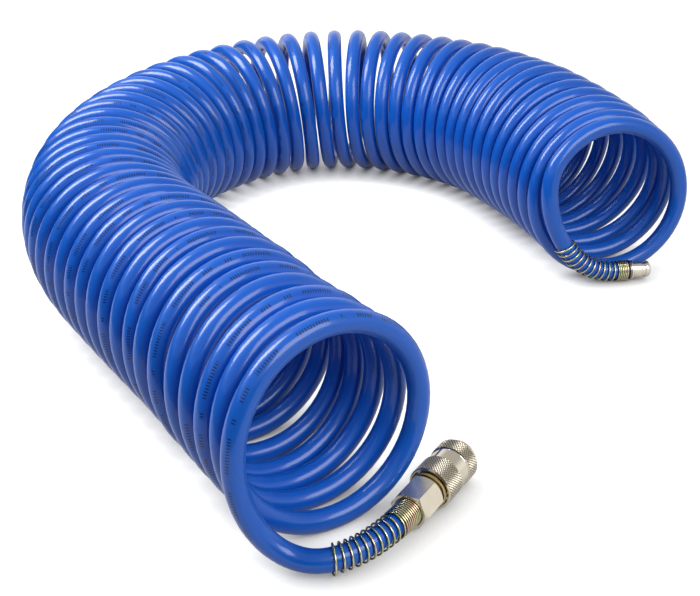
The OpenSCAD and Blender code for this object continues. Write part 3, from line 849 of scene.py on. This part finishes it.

# %% [markdown]
# ## Yellow zinc
# The guards' wire is zinc plated and passivated, and shifts between straw, green and pink along its turns.
# A colour ramp over a wide noise gives that shift. The wire's sides lie in its neighbours' shade, so shade is
# painted on them where the points are marked low, which keeps the close turns apart to the eye.

# %% Finish the wire
ZINC_STOPS = [(0.3, rgb(0.78, 0.50, 0.42)), (0.45, rgb(0.80, 0.70, 0.42)), (0.56, rgb(0.55, 0.66, 0.36)),
              (0.68, rgb(0.82, 0.74, 0.50))]
ZINC_SHADE = rgb(0.09, 0.075, 0.035)


def zinc_finish():
    material, start, shader = new_material("yellow_zinc", Metallic=1.0)
    shift = noise(on_piece(start), 110.0, 1.0)
    colour = start.node("ShaderNodeValToRGB", {"stops": ZINC_STOPS}, {0: shift})
    # Painted shade: the wire's sides, marked low, are mixed towards ZINC_SHADE.
    feed(marked(start, "unshaded").mixed(ZINC_SHADE, colour), shader, "Base Color")
    feed(0.2 + shift * 0.08, shader, "Roughness")
    return material


zinc = zinc_finish()
socket_guard.data.materials.append(zinc)
plug_guard.data.materials.append(zinc)
print("wire finish:", zinc.name)

# %% [markdown]
# ## Rubber, and the pieces that keep their shape
# Seals and packings are black rubber, dull and a little mottled. The other turned pieces are right as the
# model has them, so they only get a finish in place of their plain colour.

# %% Finish the rubber
def rubber_finish():
    material, start, shader = new_material("black_rubber")
    grain = noise(on_piece(start), 700.0, 3.0)
    feed(grain.mixed(rgb(0.012, 0.012, 0.012), rgb(0.035, 0.035, 0.035)), shader, "Base Color")
    feed(0.55 + grain * 0.2, shader, "Roughness")
    return material


rubber = rubber_finish()
print("rubber finish:", rubber.name)

# %% Finish the model's own pieces
FINISHES = {
    "socket_hose_nut": satin, "socket_adapter": brass, "adapter_gasket": rubber, "socket_body": nickel,
    "sleeve_stop_ring": satin, "valve_poppet": brass, "valve_seal": rubber, "plug_packing": rubber,
    "guard_washer": darkened, "hose_plug": nickel,
}
FINISHES.update({f"locking_ball_{number}": bright_steel for number in (1, 2, 3, 4)})
for name, material in FINISHES.items():
    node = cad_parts[name]
    node.data.materials.clear()
    node.data.materials.append(material)
print("finished nodes:", len(FINISHES))

# %% [markdown]
# ## Studio light
# Two softboxes, a tall one at the left and a wider one at the right, draw the pale bands along every turn.
# A softbox is an area light. It is placed by its direction and distance from the hose, as a photographer
# would walk it round, and its strength is its brightness where white is 1, whatever its size.

# %% Stand the softboxes
LIT_MIDDLE = Vector((0, 0, 0.05))


def softbox(name, azimuth, elevation, distance, size, strength):
    """An area light that faces the middle of the hose."""
    around = math.radians(azimuth)
    above = math.radians(elevation)
    way = Vector((math.sin(around) * math.cos(above), -math.cos(around) * math.cos(above), math.sin(above)))
    light = bpy.data.lights.new(name, "AREA")
    light.shape = "RECTANGLE"
    light.size, light.size_y = size
    light.energy = strength * math.pi * size[0] * size[1]
    lamp = add_object(name, light)
    lamp.location = LIT_MIDDLE + way * distance
    lamp.rotation_mode = "QUATERNION"
    lamp.rotation_quaternion = (-way).to_track_quat("-Z", "Y")


softbox("left_box", azimuth=-100, elevation=48, distance=1.3, size=(0.55, 0.85), strength=12.0)
softbox("right_box", azimuth=36, elevation=38, distance=1.4, size=(0.95, 0.75), strength=5.2)

# %% [markdown]
# ## The surround
# The surround is white to the camera and dim to everything else, so the blue keeps its depth. Reflections
# see it pale too, and paler near the horizon than overhead, as the back wall of a studio is.

# %% Light the surround
AMBIENT = 0.12
MIRRORED_SKY = 0.4
MIRRORED_WALL = 0.5
WALL_TOP = 0.55
WALL_SHARPNESS = 4.0


def ray_kinds(start):
    """1 for a ray from the camera, and 1 for a ray that metal or glass sends on."""
    from_camera = start.node("ShaderNodeLightPath", output="Is Camera Ray")
    return from_camera, from_camera.beside("Is Glossy Ray") + from_camera.beside("Is Transmission Ray")


def light_surround():
    world = bpy.data.worlds.new("white_surround")
    bpy.context.scene.world = world
    world.use_nodes = True
    start = Wire(world.node_tree)
    background = world.node_tree.nodes["Background"]
    from_camera, mirrored = ray_kinds(start)
    height = start.node("ShaderNodeSeparateXYZ", None, {0: start.node("ShaderNodeTexCoord")}, output="Z")
    wall = ((WALL_TOP - height) * WALL_SHARPNESS).limited()
    strength = AMBIENT + from_camera * (1 - AMBIENT) + mirrored * (MIRRORED_SKY + wall * MIRRORED_WALL)
    feed(strength, background, "Strength")
    background.inputs["Color"].default_value = rgb(1, 1, 1)


light_surround()
print("surround:", bpy.context.scene.world.name)

# %% [markdown]
# ## A dark card
# Bright metal looks flat where it has only white to reflect. A photographer stands a dark card beside it,
# and here a low dark wall goes round the camera's side, which only reflections show.

# %% Stand the dark card
CARD_AWAY = 0.78
CARD_HIGH = 0.34
CARD_AZIMUTHS = range(-150, 21, 10)


def stand_dark_card():
    posts = [math.radians(azimuth) for azimuth in CARD_AZIMUTHS]
    feet = [(CARD_AWAY * math.sin(post), -CARD_AWAY * math.cos(post)) for post in posts]
    corners = [(x, y, z) for x, y in feet for z in (0, CARD_HIGH)]
    faces = [(2 * i, 2 * i + 2, 2 * i + 3, 2 * i + 1) for i in range(len(feet) - 1)]
    card = add_mesh("dark_card", corners, faces)
    card.visible_camera = card.visible_diffuse = card.visible_shadow = False
    dark, start, shader = new_material("dark_card", Base_Color=rgb(0.1, 0.1, 0.1), Roughness=1.0,
                                       Specular_IOR_Level=0.0)
    card.data.materials.append(dark)
    return card


card = stand_dark_card()
print("card panels:", len(card.data.polygons))

# %% [markdown]
# ## The floor
# The floor is white to the camera and pale in reflections, which its own glow gives without more light on
# the hose. The glow fades where the hose comes near it: a painted shadow, over the lamps' real one on its
# grey.

# %% Lay the floor
FLOOR_HALF = 3.0
SHADE_REACH = 0.02
SHADE_SAMPLES = 8
SEEN_GLOW = 0.95
MIRRORED_GLOW = 0.45


def floor_finish():
    material, start, shader = new_material("white_floor", Base_Color=rgb(0.4, 0.4, 0.4), Roughness=1.0,
                                           Specular_IOR_Level=0.0)
    from_camera, mirrored = ray_kinds(start)
    openness = start.node("ShaderNodeAmbientOcclusion", {"samples": SHADE_SAMPLES},
                          {"Distance": SHADE_REACH}, output="AO")
    # Painted shadow: the glow is dimmed where the hose comes near the floor.
    glow = (from_camera * SEEN_GLOW + mirrored * MIRRORED_GLOW) * openness
    emission = start.node("ShaderNodeEmission", None, {"Color": rgb(1, 1, 1), "Strength": glow})
    lit = start.node("ShaderNodeAddShader", None, {0: Wire(start.tree, shader.outputs[0]), 1: emission})
    feed(lit, start.tree.nodes["Material Output"], "Surface")
    return material


def lay_floor():
    corners = [(-FLOOR_HALF, -FLOOR_HALF, 0), (FLOOR_HALF, -FLOOR_HALF, 0),
               (FLOOR_HALF, FLOOR_HALF, 0), (-FLOOR_HALF, FLOOR_HALF, 0)]
    floor = add_mesh("floor", corners, [(0, 1, 2, 3)])
    floor.data.materials.append(floor_finish())


lay_floor()
bpy.context.scene.view_settings.view_transform = "Standard"
print("view transform:", bpy.context.scene.view_settings.view_transform)
